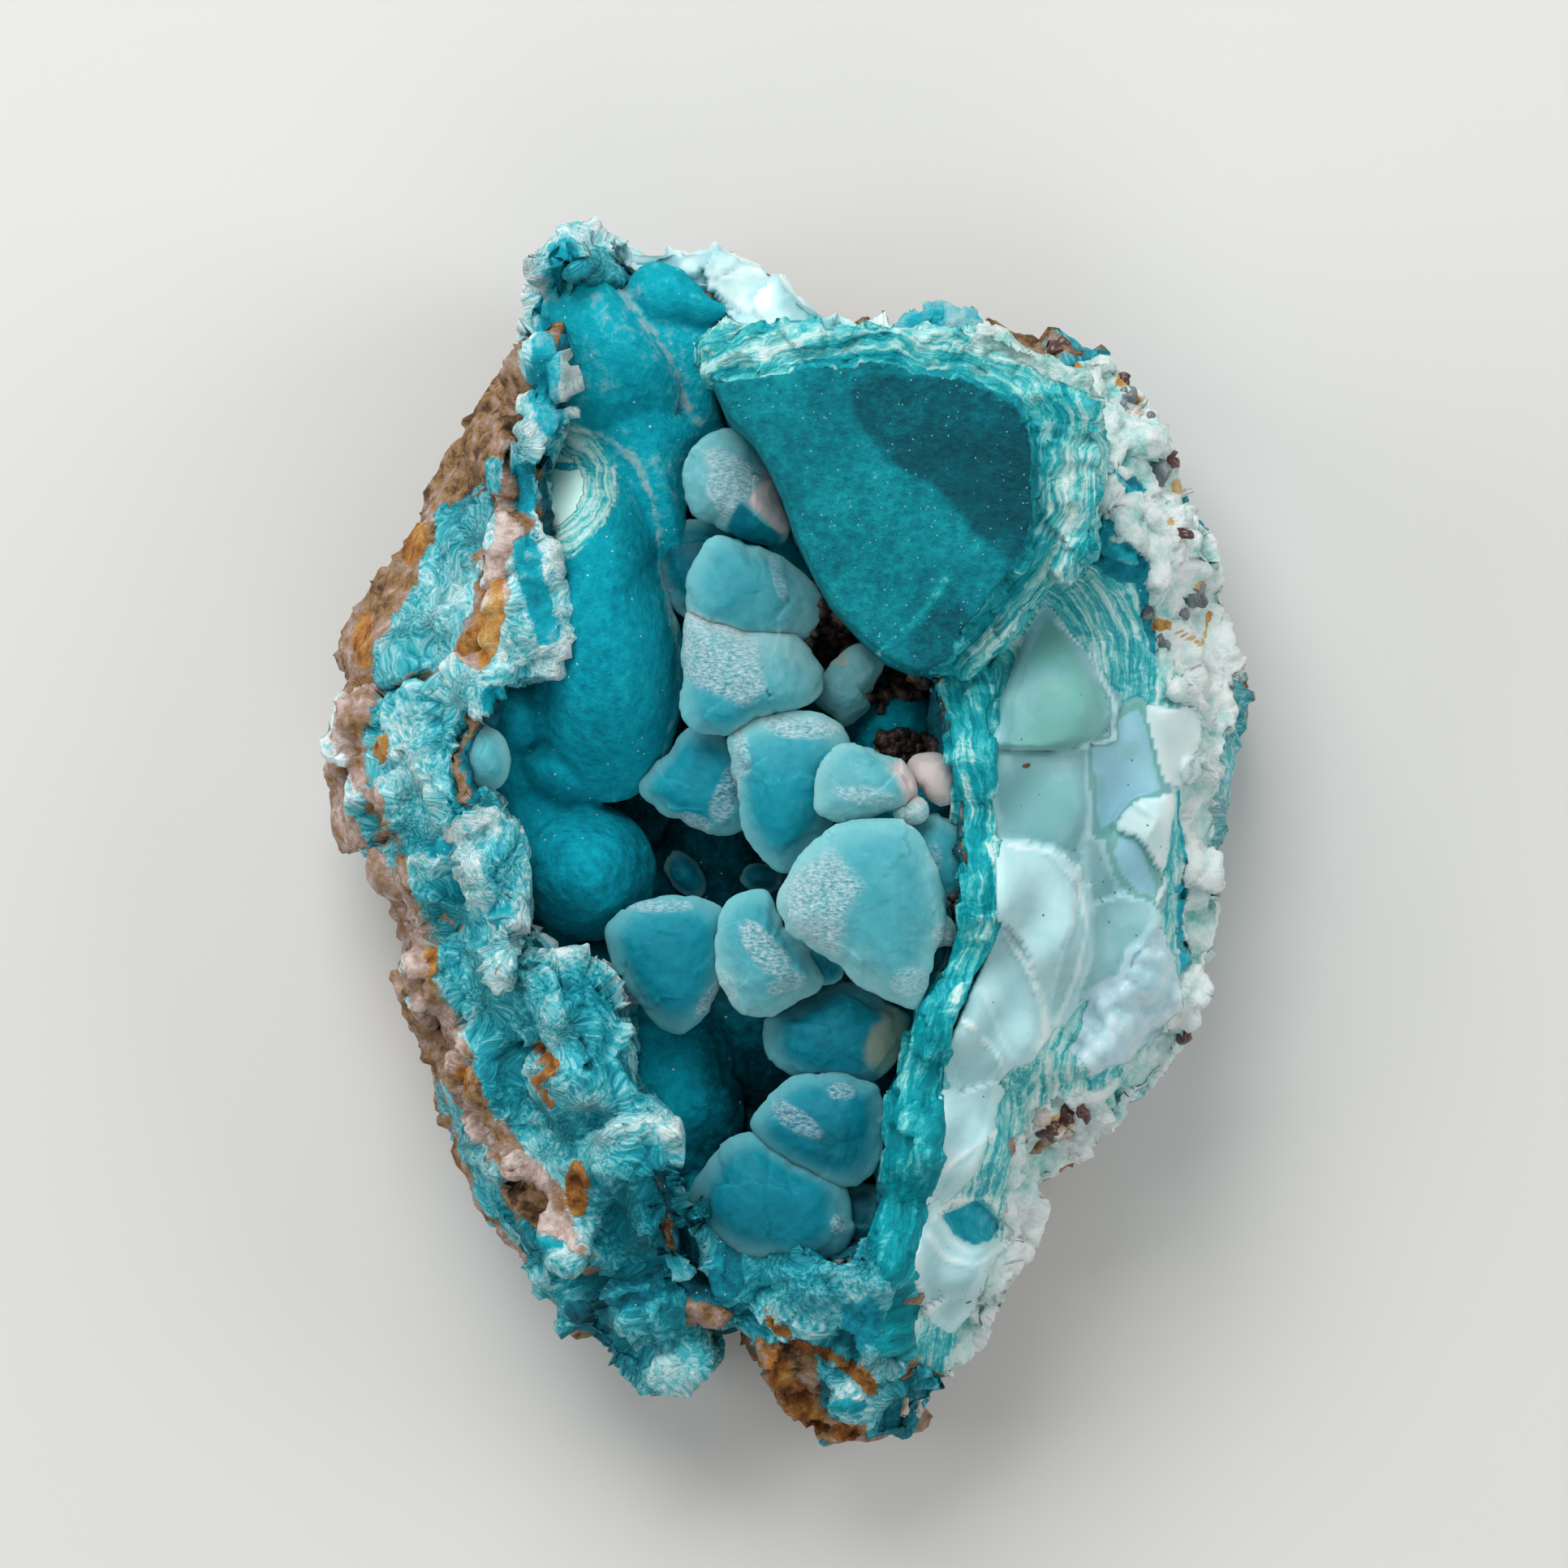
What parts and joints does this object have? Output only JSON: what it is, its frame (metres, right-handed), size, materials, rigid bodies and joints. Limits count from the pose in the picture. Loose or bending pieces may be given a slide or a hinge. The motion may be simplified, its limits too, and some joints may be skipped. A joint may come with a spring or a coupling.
{
  "type": "smithsonite with aurichalcite mineral specimen",
  "caption": "Mineral specimen lying on its flat back: pale curved crystals in a hollow lined with rounded teal lobes, with a raised block and a broken crust around it.",
  "frame": {"origin": "on the flat of the back, under the middle of the broken face", "axes": "+Z out of the broken face, up as the specimen lies; +Y along its length, towards the upper peak; +X to the right of the face"},
  "size_m": [0.0611, 0.0779, 0.0351],
  "materials": {
    "matrix": "teal and white aurichalcite rind on brown quartz and limonite rock, matt to silky",
    "smithsonite": "frosted, translucent pale blue crystals with silky white patches"
  },
  "bodies": {
    "root": {"matrix": "matrix", "smithsonite_crystals": "smithsonite"}
  },
  "joints": []
}
